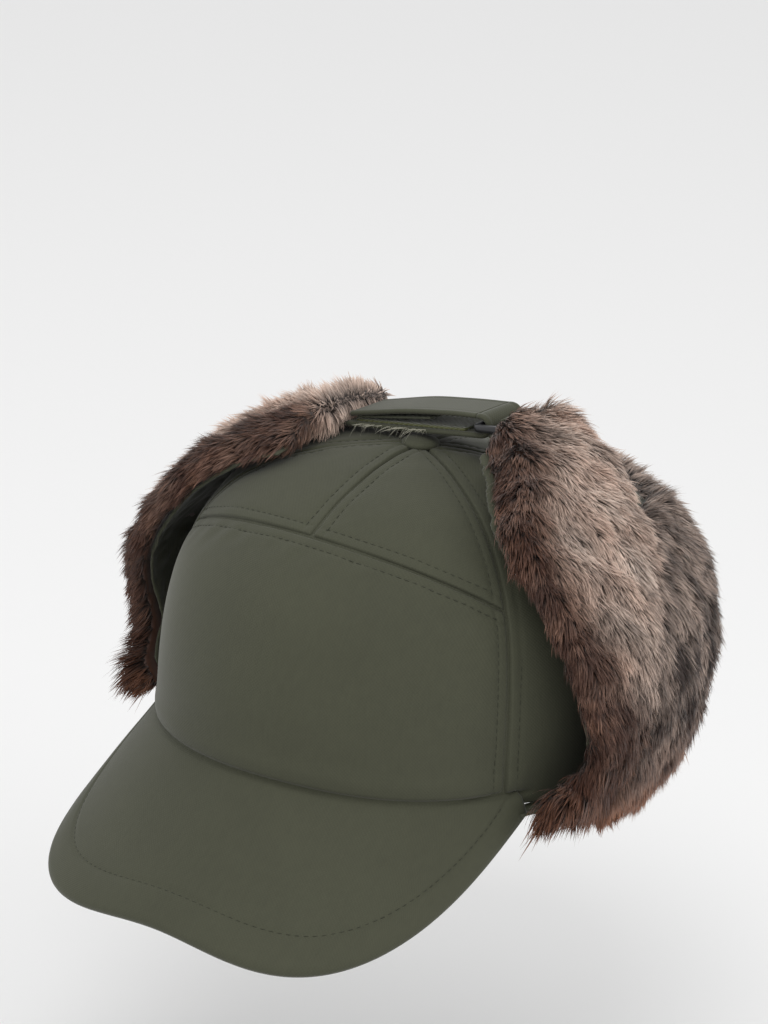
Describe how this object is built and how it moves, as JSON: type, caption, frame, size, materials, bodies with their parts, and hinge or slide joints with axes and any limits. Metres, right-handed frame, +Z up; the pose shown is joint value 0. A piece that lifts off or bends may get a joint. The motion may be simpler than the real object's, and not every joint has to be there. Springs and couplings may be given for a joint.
{
  "type": "trapper hat",
  "caption": "Winter trapper cap with a curved stitched visor and fur-lined ear and neck flaps folded up and strapped across the crown.",
  "frame": {"origin": "centre of the head opening, on the plane of the hem", "axes": "the front of the cap looks along -Y, +X is the wearer's left, +Z is up through the crown"},
  "size_m": [0.2403, 0.2864, 0.1845],
  "materials": {
    "olive_cloth": "matt, tight plain weave",
    "foam": "matt",
    "lining_cloth": "soft satin",
    "sweatband_cloth": "matt twill",
    "button_metal": "satin",
    "visor_plastic": "matt",
    "fur": "long soft pile",
    "loop_tape": "short looped pile",
    "hook_tape": "short stiff hooks",
    "ring_plastic": "gloss"
  },
  "bodies": {
    "crown": {"front_panel": "olive_cloth", "upper_panel_left": "olive_cloth", "upper_panel_right": "olive_cloth", "side_panel_left": "olive_cloth", "side_panel_right": "olive_cloth", "back_panel_left": "olive_cloth", "back_panel_right": "olive_cloth", "top_button": "olive_cloth", "visor_top_cover": "olive_cloth", "visor_under_cover": "olive_cloth", "front_foam": "foam", "crown_wadding": "foam", "lining_front": "lining_cloth", "lining_left": "lining_cloth", "lining_right": "lining_cloth", "sweatband": "sweatband_cloth", "button_back": "button_metal", "visor_board": "visor_plastic"},
    "ear_flap_left": {"ear_flap_shell_left": "olive_cloth", "ear_flap_fur_left": "fur", "ear_flap_rear_fur_left": "fur", "ring_tab": "olive_cloth"},
    "ear_flap_right": {"ear_flap_shell_right": "olive_cloth", "ear_flap_fur_right": "fur", "ear_flap_rear_fur_right": "fur", "strap_patch": "olive_cloth"},
    "neck_flap": {"neck_flap_shell": "olive_cloth", "neck_flap_fur": "fur"},
    "strap": {"strap": "olive_cloth", "loop_tape": "loop_tape"},
    "strap_tail": {"strap_tail": "olive_cloth", "hook_tape": "hook_tape"},
    "ring": {"ring": "ring_plastic"}
  },
  "joints": [
    {"name": "ear_flap_left_fold", "type": "hinge", "parent": "crown", "child": "ear_flap_left", "pos_m": [0.088, 0, -0.001], "axis": [-0.1579, 0.9875, 0], "range_deg": [0, 155]},
    {"name": "ear_flap_right_fold", "type": "hinge", "parent": "crown", "child": "ear_flap_right", "pos_m": [-0.088, 0, -0.001], "axis": [-0.1579, -0.9875, 0], "range_deg": [0, 155]},
    {"name": "neck_flap_fold", "type": "hinge", "parent": "crown", "child": "neck_flap", "pos_m": [0, 0.097, -0.001], "axis": [-1, 0, 0], "range_deg": [0, 165]},
    {"name": "strap_swing", "type": "hinge", "parent": "ear_flap_right", "child": "strap", "pos_m": [-0.03557, 0.012, 0.11625], "axis": [0, -1, 0], "range_deg": [0, 43]},
    {"name": "strap_tail_peel", "type": "hinge", "parent": "strap", "child": "strap_tail", "pos_m": [0.02677, 0.012, 0.13328], "axis": [0, 1, 0], "range_deg": [0, 110]},
    {"name": "ring_swing", "type": "hinge", "parent": "ear_flap_left", "child": "ring", "pos_m": [0.03948, 0.012, 0.1303], "axis": [0, 1, 0], "range_deg": [-4.5, 4.5]}
  ]
}
